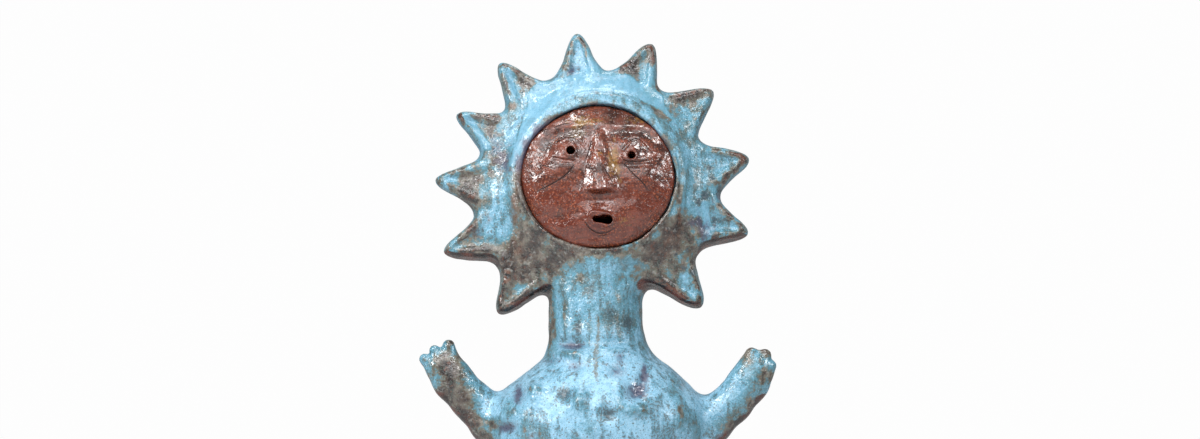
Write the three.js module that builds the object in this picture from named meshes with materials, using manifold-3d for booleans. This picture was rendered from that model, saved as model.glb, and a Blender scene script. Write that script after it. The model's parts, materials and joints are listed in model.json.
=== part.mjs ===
// A sun-headed figure in glazed stoneware, 432 mm tall, with raised arms and a low round base.
// It is hand built and hollow, open at the foot: body, neck, rayed head and arms are one fired
// piece, and a plate of red-brown clay, modelled as a face, is let into a seat in the head.
// Millimetres, +Z up. The face looks along -Y, and the origin is the centre of the underside.
import * as THREE from "three";
import { LoftGeometry } from "three/addons/geometries/LoftGeometry.js";
import { mergeVertices } from "three/addons/utils/BufferGeometryUtils.js";
import Module from "manifold-3d";

const wasm = await Module();
wasm.setup();

// Driving sizes
const WALL = 8; // thickness of the clay in the body
const NECK_BORE = 20; // radius of the hollow in the neck
const HEAD_CENTRE = new THREE.Vector3(-1.2, 0, 335.9);
const HEAD_TILT = THREE.MathUtils.degToRad(4.5); // the face looks up a little
const RAY_HALF_ANGLE = 15; // degrees, the most that a ray's foot reaches to each side
const SEAM = 0.8; // open joint around the face plate
const BEDDING = 0.3; // gap behind the face plate
const PLATE = { x: 1.2, z: 4.2, halfWidth: 45.6, halfHeight: 42.8, back: 14, rim: 19.5, dome: 9 };

// Each ray: its direction in degrees from +X towards +Z, the distance of its tip from the head's
// centre, and that of the hollow after it. They were cut by hand, so no two are quite alike. The
// neck stands in the hollow after the ray at 232 degrees.
const RAYS = [
  [11.6, 93.8, 69.8], [41, 93, 73.4], [69.4, 95.6, 73.8], [96.9, 97.2, 73.6], [126.9, 97.2, 74.4],
  [151.5, 96.8, 73], [176.4, 97.4, 75], [202.6, 98.8, 73.6], [232, 95, 66], [311.5, 94.8, 72.8],
  [343.7, 95.4, 75.5],
];

const RAY_BLUNTNESS = 0.3; // 0 is a sharp tip
const RAY_HOLLOWNESS = 2.2; // 1 is a straight-sided ray, more is a hollow-sided one
const RAY_TIP_THINNESS = 0.72; // thickness of a ray's tip as a share of that at its foot

// The head's sections from the back to the front. The round ones give radius, depth, and how far
// their centre is from the head's towards the plate's; the rayed ones give inset and depth.
const HEAD_BACK = [[7, -36, 0.3], [18, -34.5, 0.3], [35, -28.5, 0.3], [50, -19, 0.3], [62, -12, 0.2]];
const HEAD_RAYED = [[4, -9], [1, -6], [0, -1], [0.8, 5], [3.2, 9.5]];
const HEAD_FRONT = [[62, 12.8, 0.35], [55, 16, 0.7], [51.5, 20.5, 0.9], [47.5, 22, 1]];

// The hollow behind the face: radius and depth of its sections, and where their centre is.
const CHAMBER = [[10, -27], [26, -22], [37, -14], [42, -3], [41, 5], [36, 9]];
const CHAMBER_TOWARDS_PLATE = 0.45;
const CHAMBER_MOUTH = 0.86; // as a share of the plate

// The figure from the base up: half width, half depth, height.
const BASE = [[78, 73.5, 0], [80, 75.5, 2], [80, 75.5, 9], [78, 73.5, 11.5]];
const BODY = [
  [74, 69.5, 12], [66, 61.5, 50], [58.5, 53, 95], [55.5, 49.5, 130], [58.5, 50.5, 160],
  [63.5, 53, 185], [64.5, 53.5, 200], [60.5, 50.5, 212], [54, 45, 219.5], [43.5, 38, 228],
  [34, 32.5, 236], [29.8, 29, 244], [28, 27.4, 256], [27.9, 27, 272], [28.6, 25.6, 286],
  [28.6, 23.5, 300],
];

// Each arm: centre x, y, z, half width and half thickness, from inside the body to the palm.
const RIGHT_ARM = [
  [-40, 0, 181, 17, 13], [-60, -2, 197, 15.5, 12], [-76, -4, 210, 11.6, 9.5],
  [-86.6, -6, 222.6, 11.8, 7.5], [-94, -7, 235.5, 11.6, 6],
];
const LEFT_ARM = [
  [42, 0, 181, 17, 13], [65.5, -2, 197, 15, 12], [80.6, -4, 208.6, 12, 9.5],
  [90, -6, 220.6, 11.8, 7.5], [95.7, -7, 236.5, 11.2, 6],
];
// Each finger: x and z of its root, x and z of its tip's centre, and its radius.
const RIGHT_FINGERS = [
  [-84, 230.5, -88.5, 242, 4], [-92.5, 232.5, -96.9, 239.4, 3.4], [-98.5, 228.5, -102.8, 234.6, 3.2],
];
const LEFT_FINGERS = [
  [88.5, 231, 90.9, 237.2, 3.6], [96.5, 230, 99.4, 236.4, 3.6], [100.5, 224.5, 103, 230.2, 3.3],
];
const FINGER_Y = -7;
// How each limb ends: places along it, and how much of its size is left there.
const ARM_STEPS = [0, 0.15, 0.3, 0.45, 0.6, 0.75, 0.88, 0.95, 0.985, 1];
const ARM_ROUNDING = [1, 1, 1, 1, 1, 1, 0.98, 0.9, 0.72, 0.35];

const BODY_SIDES = 40;
const BODY_STEPS = 20;
const HOLLOW_STEPS = 10;
const ARM_SIDES = 12;
const RAY_STEPS = 8;
const PLATE_SIDES = 48;
const CHAMBER_SIDES = 24;

const { degToRad, lerp, smoothstep, clamp } = THREE.MathUtils;

// Turns a closed three.js geometry into a solid that can be joined and cut.
function solidOf(geometry) {
  const bare = new THREE.BufferGeometry();
  bare.setAttribute("position", geometry.getAttribute("position"));
  bare.setIndex(geometry.index);
  const merged = mergeVertices(bare, 1e-3);
  const solid = (order) => {
    const triVerts = [];
    const index = merged.index.array;
    for (let i = 0; i < index.length; i += 3) {
      const corners = order.map((k) => index[i + k]);
      if (new Set(corners).size === 3) triVerts.push(...corners);
    }
    return new wasm.Manifold(
      new wasm.Mesh({
        numProp: 3,
        vertProperties: merged.attributes.position.array,
        triVerts: new Uint32Array(triVerts),
      }),
    );
  };
  const made = solid([0, 1, 2]);
  return made.volume() > 0 ? made : solid([0, 2, 1]);
}

// Turns a solid back into a three.js geometry.
function geometryOf(solid) {
  const mesh = solid.getMesh();
  const geometry = new THREE.BufferGeometry();
  geometry.setAttribute("position", new THREE.BufferAttribute(mesh.vertProperties, 3));
  geometry.setIndex(new THREE.BufferAttribute(mesh.triVerts, 1));
  geometry.computeVertexNormals();
  return geometry;
}

// A solid through a row of closed sections, which turn anticlockwise seen from the last one.
function loft(sections) {
  const last = sections.at(-1);
  const capEnd = last[0].distanceTo(last[1]) > 0;
  return solidOf(new LoftGeometry(sections, { capStart: true, capEnd }));
}

// A closed ring of points, worked out from each turn's angle.
function ring(sides, pointAt) {
  return Array.from({ length: sides }, (_, i) => pointAt((i / sides) * 2 * Math.PI));
}

// The left shoulder is a little fuller, and the neck stands off the middle and leans back.
const axisX = (z) => 2.4 * Math.exp(-(((z - 229) / 9) ** 2)) - 1.5 * smoothstep(z, 236, 256);
const axisY = (z) => 1.5 * smoothstep(z, 250, 300);

// A level oval section of the body.
function bodySection([halfWidth, halfDepth, z]) {
  return ring(BODY_SIDES, (a) =>
    new THREE.Vector3(axisX(z) + halfWidth * Math.cos(a), axisY(z) + halfDepth * Math.sin(a), z));
}

// The body's outside, a smooth curve through the sizes above, on its stepped base.
const bodyCurve = new THREE.CatmullRomCurve3(BODY.map((p) => new THREE.Vector3(...p)));

function bodyForm() {
  const robe = bodyCurve.getSpacedPoints(BODY_STEPS).map((p) => p.toArray());
  return loft([...BASE, ...robe].map(bodySection));
}

// The hollow follows the outside one wall in, from the open foot to a bore through the neck.
function bodyHollow() {
  const inside = bodyCurve.getSpacedPoints(HOLLOW_STEPS).map(({ x, y, z }) => {
    const bore = z > 235 ? NECK_BORE : 0;
    return [Math.max(bore, x - WALL), Math.max(bore, y - WALL), z];
  });
  return loft([[68, 63.5, -5], ...inside, [NECK_BORE, NECK_BORE, 316]].map(bodySection));
}

// How far a ray's foot spreads to one side, in degrees: half the gap to the next ray, or less
// beside the neck.
const raySpread = (gap) => (gap > 40 ? RAY_HALF_ANGLE : gap / 2);

const nextRay = (i) => RAYS[(i + 1) % RAYS.length];

// Distance from the head's centre to its edge in one direction. Each ray is a hollow-sided cone
// with a blunt tip. An inset draws the smaller outline of the front and back faces.
function edgeReach(angle, inset) {
  const degrees = ((angle * 180) / Math.PI + 360) % 360;
  const away = (from) => ((degrees - from + 540) % 360) - 180;
  const i = RAYS.findIndex(([direction], k) => away(direction) >= 0 && away(nextRay(k)[0]) < 0);
  const [direction, tip, valley] = RAYS[i];
  const [nextDirection, nextTip] = nextRay(i);
  const gap = (nextDirection - direction + 360) % 360;
  const half = raySpread(gap) * (1 - 0.05 * inset);
  const length = (offset, ray) => {
    const fall = Math.hypot(offset / half, RAY_BLUNTNESS) - RAY_BLUNTNESS;
    const blunt = clamp(fall / (Math.hypot(1, RAY_BLUNTNESS) - RAY_BLUNTNESS), 0, 1);
    return (ray - valley - 0.3 * inset) * (1 - blunt) ** RAY_HOLLOWNESS;
  };
  return valley - inset + length(away(direction), tip) + length(-away(nextDirection), nextTip);
}

// The directions of the head's points, closer together towards each ray's tip.
function headDirections() {
  const directions = [];
  RAYS.forEach(([direction], i) => {
    const next = RAYS[(i + 1) % RAYS.length][0];
    const gap = (next - direction + 360) % 360;
    const half = raySpread(gap);
    for (let k = 0; k < RAY_STEPS / 2; k += 1) {
      directions.push(direction + half * (k / (RAY_STEPS / 2)) ** 1.5);
    }
    const bare = gap - 2 * half;
    for (let k = 0; bare > 0 && k < 5; k += 1) directions.push(direction + half + (bare * k) / 5);
    for (let k = RAY_STEPS / 2; k > 0; k -= 1) {
      directions.push(next - half * (k / (RAY_STEPS / 2)) ** 1.5 + (next < direction ? 360 : 0));
    }
  });
  return directions.map(degToRad);
}

// In the head's own frame x is across, z is up, and depth is measured towards the front, so y is
// minus the depth. A round section sits between the plate's centre and the head's centre.
const directions = headDirections();

function roundSection(radius, depth, towardsPlate, angles = directions) {
  const x = PLATE.x * towardsPlate;
  const z = PLATE.z * towardsPlate;
  return angles.map((a) => new THREE.Vector3(x + radius * Math.cos(a), -depth, z + radius * Math.sin(a)));
}

// A rayed section. The rays get thinner towards their tips.
function rayedSection(inset, depth) {
  return directions.map((a) => {
    const reach = edgeReach(a, inset);
    const thinning = lerp(1, RAY_TIP_THINNESS, clamp((reach - 74) / 20, 0, 1));
    return new THREE.Vector3(reach * Math.cos(a), -depth * thinning, reach * Math.sin(a));
  });
}

// The rayed head: a thick slab with a raised collar for the face and a domed back.
function headForm() {
  return loft([
    ...HEAD_BACK.map((row) => roundSection(...row)),
    ...HEAD_RAYED.map((row) => rayedSection(...row)),
    ...HEAD_FRONT.map((row) => roundSection(...row)),
  ]);
}

// An oval parallel to the face plate's outline, which narrows slightly towards the chin.
function plateSection(scale, depth, margin = 0) {
  return ring(PLATE_SIDES, (a) => {
    const narrowing = 1 - 0.04 * Math.max(0, -Math.sin(a));
    return new THREE.Vector3(
      PLATE.x + (PLATE.halfWidth * scale + margin) * Math.cos(a) * narrowing,
      -depth,
      PLATE.z + (PLATE.halfHeight * scale + margin) * Math.sin(a));
  });
}

// What the head loses: the stepped seat for the face plate and the hollow behind it.
function headHollow() {
  const seat = loft([plateSection(1, PLATE.back - BEDDING, SEAM), plateSection(1, 40, SEAM)]);
  const way = loft([plateSection(CHAMBER_MOUTH, 2), plateSection(CHAMBER_MOUTH, 20)]);
  const angles = ring(CHAMBER_SIDES, (a) => a);
  const chamber = loft(CHAMBER.map(([radius, depth]) =>
    roundSection(radius, depth, CHAMBER_TOWARDS_PLATE, angles)));
  return seat.add(way).add(chamber);
}

// A limb: oval sections square to a smooth curve, rounded off at the end.
function armForm(stations) {
  const curve = new THREE.CatmullRomCurve3(stations.map(([x, y, z]) => new THREE.Vector3(x, y, z)));
  const sizes = new THREE.CatmullRomCurve3(stations.map((s) => new THREE.Vector3(s[3], s[4], 0)));
  const forward = new THREE.Vector3(0, -1, 0);
  return loft(ARM_STEPS.map((t, i) => {
    const centre = curve.getPoint(t);
    const size = sizes.getPoint(t).multiplyScalar(ARM_ROUNDING[i]);
    const across = new THREE.Vector3().crossVectors(forward, curve.getTangent(t)).normalize();
    return ring(ARM_SIDES, (a) => centre.clone()
      .addScaledVector(across, size.x * Math.cos(a))
      .addScaledVector(forward, size.y * Math.sin(a)));
  }));
}

function fingerForm([rootX, rootZ, tipX, tipZ, radius]) {
  const root = new THREE.Vector3(rootX, FINGER_Y, rootZ);
  const tip = new THREE.Vector3(tipX, FINGER_Y, tipZ);
  const along = tip.clone().sub(root);
  const finger = new THREE.CapsuleGeometry(radius, along.length(), 3, 8);
  finger.applyQuaternion(
    new THREE.Quaternion().setFromUnitVectors(new THREE.Vector3(0, 1, 0), along.normalize()));
  const middle = root.add(tip).multiplyScalar(0.5);
  return solidOf(finger.translate(middle.x, middle.y, middle.z));
}

// Places of the face's features, x across and z up from the plate's centre.
const EYES = [[-16.2, 14.8, 2.35], [19.8, 12.2, 2]];
const NOSE = { x: 1.8, top: 25, bottom: -9, topHalf: 2.6, bottomHalf: 9.6, topRise: 1.5, tipRise: 8.5 };
const MOUTH = { x: 2.2, z: -25.9, half: 3.6, radius: 2.1, tilt: degToRad(-8) };

// Soft rises and dips of the face: x, z, half width, half height, and how far each stands out.
const CHEEKS_AND_LIPS = [
  [-25, 1, 10, 9, 1.4], [28, 0, 9, 9, 1.4], [MOUTH.x, MOUTH.z, 10, 6, 2.6], [MOUTH.x, -14.5, 9, 4, -1.2],
];
// The same round each eye, from the eye: brow, hollow under it, and lids.
const EYE_FORMS = [[0, 12.5, 13, 4, 1.6], [0, 5.5, 12, 4.5, -2], [0, 0, 7, 4.5, 0.9]];
const FACE_RINGS = [0.975, 0.93, 0.86, 0.78, 0.7, 0.62, 0.55, 0.48, 0.41, 0.34, 0.27, 0.2, 0.13, 0.06, 0];

const bump = (x, z, width, height) => Math.exp(-((x / width) ** 2) - (z / height) ** 2);

// How far the nose stands out: a wedge that widens and rises towards a square-cut lower edge.
function noseRise(x, z) {
  const down = clamp((NOSE.top - z) / (NOSE.top - NOSE.bottom), 0, 1);
  const half = lerp(NOSE.topHalf, NOSE.bottomHalf, down);
  const side = 1 - smoothstep(Math.abs(x - NOSE.x), 0.5 * half, half + 2.5);
  const lowerEdge = smoothstep(z, NOSE.bottom - 1.5, NOSE.bottom + 2);
  const bridge = 1 - smoothstep(z, NOSE.top - 4, NOSE.top + 5);
  return lerp(NOSE.topRise, NOSE.tipRise, down ** 1.2) * side * lowerEdge * bridge;
}

// The face's front surface: a low dome with brows, sunk eyes, cheeks, nose and a pursed mouth.
function faceDepth(x, z) {
  const out = Math.hypot(x / PLATE.halfWidth, z / PLATE.halfHeight);
  let depth = PLATE.rim + PLATE.dome * (1 - Math.min(1, out) ** 2.4);
  const add = (cx, cz) => ([dx, dz, width, height, rise]) => {
    depth += rise * bump(x - cx - dx, z - cz - dz, width, height);
  };
  EYES.forEach(([ex, ez]) => EYE_FORMS.forEach(add(ex, ez)));
  CHEEKS_AND_LIPS.forEach(add(0, 0));
  return depth + noseRise(x, z);
}

function facePlateForm() {
  const front = FACE_RINGS.map((scale) =>
    plateSection(scale, 0).map((p) => p.setY(-faceDepth(p.x - PLATE.x, p.z - PLATE.z))));
  return loft([plateSection(1, PLATE.back), plateSection(1, PLATE.rim - 1.5), ...front]);
}

// Holes pushed through the soft clay, and the slot of the mouth.
function faceHoles() {
  const eyes = EYES.map(([x, z, radius]) =>
    solidOf(new THREE.CylinderGeometry(radius, radius * 0.85, 40, 12)
      .translate(PLATE.x + x, -20, PLATE.z + z)));
  const slot = new THREE.Shape();
  slot.absarc(MOUTH.half, 0, MOUTH.radius, -Math.PI / 2, Math.PI / 2);
  slot.absarc(-MOUTH.half, 0, MOUTH.radius, Math.PI / 2, (3 * Math.PI) / 2);
  const mouth = new THREE.ExtrudeGeometry(slot, { depth: 40, bevelEnabled: false, curveSegments: 6 })
    .rotateZ(MOUTH.tilt)
    .rotateX(Math.PI / 2)
    .translate(PLATE.x + MOUTH.x, 0, PLATE.z + MOUTH.z);
  return [...eyes, solidOf(mouth)].reduce((all, hole) => all.add(hole));
}

const turquoiseGlaze = new THREE.MeshStandardMaterial({ color: 0x7fbcd2, roughness: 0.28, metalness: 0 });
const redBrownClay = new THREE.MeshStandardMaterial({ color: 0x7a4436, roughness: 0.3, metalness: 0 });

const head = new THREE.Group();
head.position.copy(HEAD_CENTRE);
head.rotation.x = -HEAD_TILT;
head.updateMatrix();

const fingers = [...RIGHT_FINGERS, ...LEFT_FINGERS].map(fingerForm);
const inHeadFrame = (solid) => solid.transform(head.matrix.elements);
const figureSolid = [bodyForm(), inHeadFrame(headForm()), armForm(RIGHT_ARM), armForm(LEFT_ARM), ...fingers]
  .reduce((all, form) => all.add(form))
  .subtract(inHeadFrame(headHollow()))
  .subtract(bodyHollow());

const figure = new THREE.Mesh(geometryOf(figureSolid), turquoiseGlaze);
figure.name = "sun_figure";

const facePlate = new THREE.Mesh(geometryOf(facePlateForm().subtract(faceHoles())), redBrownClay);
facePlate.name = "face_plate";
head.add(facePlate);

const model = new THREE.Group();
model.add(figure, head);
export default model;
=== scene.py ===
# A sun-headed figure in glazed stoneware, hand built and hollow, about 43 cm tall.
# Sizes are in millimetres while the clay is worked, and in metres on the finished pieces.
# The face looks along -Y, and the origin is the centre of the underside.
import json
import math

import bpy
import numpy as np
import openvdb
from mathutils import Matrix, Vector, noise

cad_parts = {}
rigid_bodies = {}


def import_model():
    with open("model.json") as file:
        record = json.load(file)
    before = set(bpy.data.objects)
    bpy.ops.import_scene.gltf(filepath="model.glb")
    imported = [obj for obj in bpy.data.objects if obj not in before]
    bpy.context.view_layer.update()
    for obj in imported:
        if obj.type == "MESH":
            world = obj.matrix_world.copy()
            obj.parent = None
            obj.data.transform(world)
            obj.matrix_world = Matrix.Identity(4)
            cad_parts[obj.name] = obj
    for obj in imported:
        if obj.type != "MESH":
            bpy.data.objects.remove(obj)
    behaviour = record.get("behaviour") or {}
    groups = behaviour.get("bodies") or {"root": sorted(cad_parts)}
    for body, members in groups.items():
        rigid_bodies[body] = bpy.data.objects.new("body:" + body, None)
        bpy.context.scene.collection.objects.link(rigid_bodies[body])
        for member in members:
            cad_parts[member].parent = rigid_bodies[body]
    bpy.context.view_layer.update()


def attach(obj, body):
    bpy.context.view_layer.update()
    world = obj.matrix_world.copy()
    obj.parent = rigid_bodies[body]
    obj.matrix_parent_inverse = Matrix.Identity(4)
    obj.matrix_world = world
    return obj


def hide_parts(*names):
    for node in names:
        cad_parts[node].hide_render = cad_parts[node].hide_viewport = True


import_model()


# The body and neck were thrown as one tall hollow form, wide at the foot, narrow at the waist and
# drawn in to a thick neck, then leant and dented by hand. It stands on a low rolled base.
# Rows: height, half width, half depth.
BODY_FORM = [
    (-10, 75.5, 71), (12, 74, 69.5), (30, 70, 65.5), (50, 66, 61.5), (72, 62, 57), (95, 58.6, 53.2),
    (115, 56.2, 50.5), (130, 55.5, 49.5), (145, 56.4, 49.6), (160, 58.7, 50.5), (175, 61.6, 52),
    (188, 64, 53.2), (199, 65, 53.7), (206, 63.8, 53), (212, 61, 51), (219.5, 54, 45.5),
    (228, 43.2, 38.5), (236, 33.6, 32.8), (244, 29.4, 29.2), (256, 27.8, 27.3), (272, 27.8, 26.8),
    (286, 28.6, 25.6), (310, 28.8, 23),
]
NECK_TOP = 306
BASE_HALF = (80, 75.5)
BASE_HEIGHT = 11.5
CLAY_STEP = 1.15
FAR = 100


def soft_min(a, b, join):
    """The nearer of two surfaces, with the corner between them filled over a width."""
    if join == 0:
        return np.minimum(a, b)
    near = np.maximum(join - np.abs(a - b), 0) / join
    return np.minimum(a, b) - near * near * join / 4


def soft_max(a, b, edge):
    return -soft_min(-a, -b, edge)


class Clay:
    """Soft clay, kept as the distance to its surface at each point of a fine grid."""

    def __init__(self, low, high, step):
        self.low = np.array(low, float)
        self.step = step
        count = np.ceil((np.array(high) - self.low) / step).astype(int) + 1
        self.distance = np.full(count, FAR, np.float32)

    def _work(self, box, change):
        low, high = np.array(box, float)
        first = np.floor((low - self.low) / self.step).astype(int).clip(0)
        last = np.ceil((high - self.low) / self.step).astype(int) + 1
        last = np.minimum(last, self.distance.shape)
        where = tuple(slice(i, j) for i, j in zip(first, last))
        along = [self.low[k] + self.step * np.arange(first[k], last[k]) for k in range(3)]
        x, y, z = np.meshgrid(*[a.astype(np.float32) for a in along], indexing="ij", sparse=True)
        self.distance[where] = change(self.distance[where], x, y, z)

    def add(self, form, box, join=0):
        self._work(box, lambda old, x, y, z: soft_min(old, form(x, y, z), join))

    def cut(self, form, box, edge=0):
        self._work(box, lambda old, x, y, z: soft_max(old, -form(x, y, z), edge))

    def surface(self):
        """The points and faces of the surface, in millimetres."""
        band = 3 * self.step
        grid = openvdb.FloatGrid(band)
        grid.copyFromArray(np.clip(self.distance, -band, band))
        points, triangles, quads = grid.convertToPolygons(isovalue=0, adaptivity=0)
        points = points * self.step + self.low
        return points, triangles.tolist() + quads.tolist()

    def fullness(self, points, reach):
        """How much of the cube around each point is clay: half on a flat, less on an edge."""
        solid = np.clip(0.5 - self.distance / self.step, 0, 1)
        half = max(1, round(reach / self.step))
        for axis in range(3):
            for _ in range(2):
                pad = [(0, 0)] * 3
                pad[axis] = (half + 1, half)
                total = np.cumsum(np.pad(solid, pad, mode="edge"), axis=axis, dtype=np.float64)
                ahead = np.take(total, range(2 * half + 1, total.shape[axis]), axis=axis)
                behind = np.take(total, range(0, total.shape[axis] - 2 * half - 1), axis=axis)
                solid = ((ahead - behind) / (2 * half + 1)).astype(np.float32)
        return self.sample(solid, points)

    def sample(self, field, points):
        """The field's value at each point, shared out between the eight grid points around it."""
        place = (points - self.low) / self.step
        corner = np.floor(place).astype(int).clip(0, np.array(field.shape) - 2)
        part = (place - corner).clip(0, 1)
        value = 0
        for far_side in np.ndindex(2, 2, 2):
            weight = np.abs(1 - np.array(far_side) - part).prod(axis=1)
            value += weight * field[tuple((corner + far_side).T)]
        return value


def smooth_rows(rows, at, width=9):
    """Each column after the first, as a smooth curve over the first, at the places asked for."""
    rows = np.array(rows, float)
    fine = np.arange(rows[0, 0], rows[-1, 0] + 0.5, 0.5)
    kernel = np.hanning(int(2 * width) + 3)
    kernel /= kernel.sum()
    columns = []
    for column in rows.T[1:]:
        line = np.interp(fine, rows[:, 0], column)
        padded = np.pad(line, len(kernel) // 2, mode="reflect", reflect_type="odd")
        columns.append(np.interp(at, fine, np.convolve(padded, kernel, "valid")).astype(np.float32))
    return columns


def step_up(value, low, high):
    """0 below low, 1 above high, and smooth between them."""
    t = np.clip((value - low) / (high - low), 0, 1)
    return t * t * (3 - 2 * t)


def bell(value, width):
    """1 where the value is 0, falling away smoothly to nothing a few widths from there."""
    return np.exp(-((value / width) ** 2))


def axis_of(z):
    """Where the middle of the body is at each height: the left shoulder is a little fuller, and
    the neck stands off the middle and leans back into the head."""
    x = 2.4 * bell(z - 229, 9) - 1.5 * step_up(z, 236, 256)
    return x, 1.5 * step_up(z, 250, 300)


def oval(x, y, middle, half_width, half_depth, slope=0):
    """Distance to an upright oval tube whose size changes by slope for each step up."""
    px = (x - middle[0]) / half_width
    py = (y - middle[1]) / half_depth
    reach = np.sqrt(px * px + py * py) + 1e-3
    spread = np.sqrt((px / half_width) ** 2 + (py / half_depth) ** 2) / reach
    return (reach - 1) / np.sqrt(spread * spread + (slope * spread) ** 2)


def body(x, y, z):
    half_width, half_depth = smooth_rows(BODY_FORM, z)
    slope = np.gradient(half_width.ravel(), CLAY_STEP).reshape(z.shape).astype(np.float32)
    side = oval(x, y, axis_of(z), half_width, half_depth, slope)
    return soft_max(side, z - NECK_TOP, 6)


def base(x, y, z):
    side = oval(x, y, (0, 0), *BASE_HALF)
    return soft_max(side, np.abs(z - BASE_HEIGHT / 2) - BASE_HEIGHT / 2, 5)


# The head is a thick disc of clay cut into eleven rays, with a domed back and a collar in front
# for the face. It was set on the neck leaning back a little, and the joint smoothed over.
# Rays: direction in degrees from +X towards +Z, distance of the tip, and the direction and
# distance of the hollow after it.
HEAD_CENTRE = (-1.2, 0.0, 335.9)
TILT_COS = math.cos(math.radians(4.5))
TILT_SIN = math.sin(math.radians(4.5))
PLATE_CENTRE = (1.2, 4.2)
PLATE_HALF = (45.6, 42.8)
RAYS = [
    (11.6, 94.4, 26, 69.8), (41, 94, 56.5, 72.8), (69.4, 96.2, 84.7, 73.8), (96.9, 97.6, 113.4, 73.2),
    (126.9, 97.9, 139.2, 74.6), (151.5, 97.2, 163.2, 72.8), (176.4, 97.4, 191.4, 75), (202.6, 99, 218.3, 75),
    (232, 95.6, 250, 66), (311.5, 95, 328, 72.4), (343.7, 95.6, 356.9, 74.8),
]
FRONT_OF_HEAD = [(0, 22), (47, 22), (51.5, 20.6), (56, 16), (62, 13), (74, 9.8), (84, 8), (98, 6.6)]
BACK_OF_HEAD = [(0, 36), (16, 34.5), (32, 28.5), (46, 20), (58, 14), (66, 11), (76, 8.6), (98, 6.4)]


def edge_of_head():
    """The head's outline, as distances from its centre at each quarter of a degree."""
    degrees = np.arange(0, 360, 0.25)
    reach = np.zeros_like(degrees)
    for (here, tip, hollow, valley), (there, next_tip, *_) in zip(RAYS, RAYS[1:] + RAYS[:1]):
        gap = (there - here) % 360
        past = (degrees - here) % 360
        between = past < gap
        feet = [(hollow - here) % 360, (there - hollow) % 360]
        length = 0
        for off, foot, end in ((past, feet[0], tip), (gap - past, feet[1], next_tip)):
            foot = min(foot, 16)
            blunt = np.clip((np.hypot(off / foot, 0.3) - 0.3) / 0.744, 0, 1)
            length = length + (end - valley) * (1 - blunt) ** 2.2
        reach[between] = (valley + length)[between]
    wobble = 0.3 * np.sin(np.radians(7 * degrees + 40)) + 0.25 * np.sin(np.radians(23 * degrees))
    return degrees, reach + wobble


EDGE_DEGREES, EDGE_REACH = edge_of_head()
EDGE_SLOPE = np.gradient(EDGE_REACH, math.radians(0.25)) / EDGE_REACH


def head_place(x, y, z):
    """A point's place across, up and towards the front, in the head's own tilted frame."""
    across = x - HEAD_CENTRE[0]
    up = y * TILT_SIN + (z - HEAD_CENTRE[2]) * TILT_COS
    front = -(y * TILT_COS - (z - HEAD_CENTRE[2]) * TILT_SIN)
    return across, up, front


def plate_place(x, y, z):
    """The same, from the middle of the face plate."""
    across, up, front = head_place(x, y, z)
    return across - PLATE_CENTRE[0], up - PLATE_CENTRE[1], front


def ray_place(turn, out):
    """The head's reach in a direction and how much its edge slants there, then how far in from that
    edge a point is, and whether the edge is a ray's."""
    reach = np.interp(turn, EDGE_DEGREES, EDGE_REACH, period=360)
    slant = np.interp(turn, EDGE_DEGREES, EDGE_SLOPE, period=360)
    slant = np.sqrt(1 + slant * slant)
    return reach, slant, (reach - out) / slant, step_up(reach, 75, 81)


def plate_outline(x, z, grow=0):
    """Distance to the oval that the face plate was cut to, a little pointed at the chin."""
    turn = np.arctan2(z, x)
    cut = 1 + 0.010 * np.cos(3 * turn + 1.9) + 0.006 * np.cos(5 * turn - 0.6)
    cut = cut - 0.035 * np.maximum(0, -np.sin(turn)) * np.cos(turn) ** 2
    half_width = (PLATE_HALF[0] + grow) * cut
    half_height = (PLATE_HALF[1] + grow) * cut
    reach = np.sqrt((x / half_width) ** 2 + (z / half_height) ** 2) + 1e-3
    return (reach - 1) * np.sqrt(x * x + z * z) / reach


def head(x, y, z):
    across, up, front = head_place(x, y, z)
    px, pz = across - PLATE_CENTRE[0], up - PLATE_CENTRE[1]
    out = np.sqrt(across * across + up * up)
    turn = np.degrees(np.arctan2(up, across)) % 360
    reach, slant, inset, on_ray = ray_place(turn, out)
    blend = step_up(out, 45, 75)
    place = np.hypot(px, pz) * (1 - blend) + out * blend
    face_side = front - smooth_rows(FRONT_OF_HEAD, place, 4)[0]
    back_side = -front - smooth_rows(BACK_OF_HEAD, out, 6)[0]
    bevel = np.interp(-face_side, [-1, 0, 3, 8, 12], [4.2, 3.5, 1.8, 0.3, 0])
    bevel = bevel + np.interp(-back_side, [-1, 0, 3, 6], [3.5, 2.6, 0.7, 0])
    rim = (out - reach + bevel) / slant
    seam = plate_outline(px, pz)
    lip = bell(seam - 2, 1.2) * step_up(-up - 0.2 * across, -4, 20)
    raised = 0.5 * on_ray * bell(inset - 4.8, 1.8) + 1.5 * lip + 0.4 * bell(seam - 1.6, 1.2)
    dished = 1.7 * step_up(inset, 5, 11) * step_up(out, 58, 78) * (1 - 0.5 * step_up(out, 84, 92))
    face_side = face_side - raised + dished
    return soft_max(soft_max(rim, face_side, 2.2), back_side, 4)


SEAT_GAP = 0.4
SEAT_BACK = 13.7


def face_seat(x, y, z):
    px, pz, front = plate_place(x, y, z)
    return soft_max(plate_outline(px, pz, SEAT_GAP), SEAT_BACK - front, 1)


def collar_crease(x, y, z):
    """The edge of the strip of clay that holds the plate, left open on the right."""
    px, pz, front = plate_place(x, y, z)
    ends = np.maximum(np.abs(np.degrees(np.arctan2(pz, px)) + 3) - 21, 0) * 0.8
    return np.hypot(np.hypot(np.hypot(px, pz) - 49.2, ends), (front - 21.5) * 0.6) - 0.9


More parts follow.
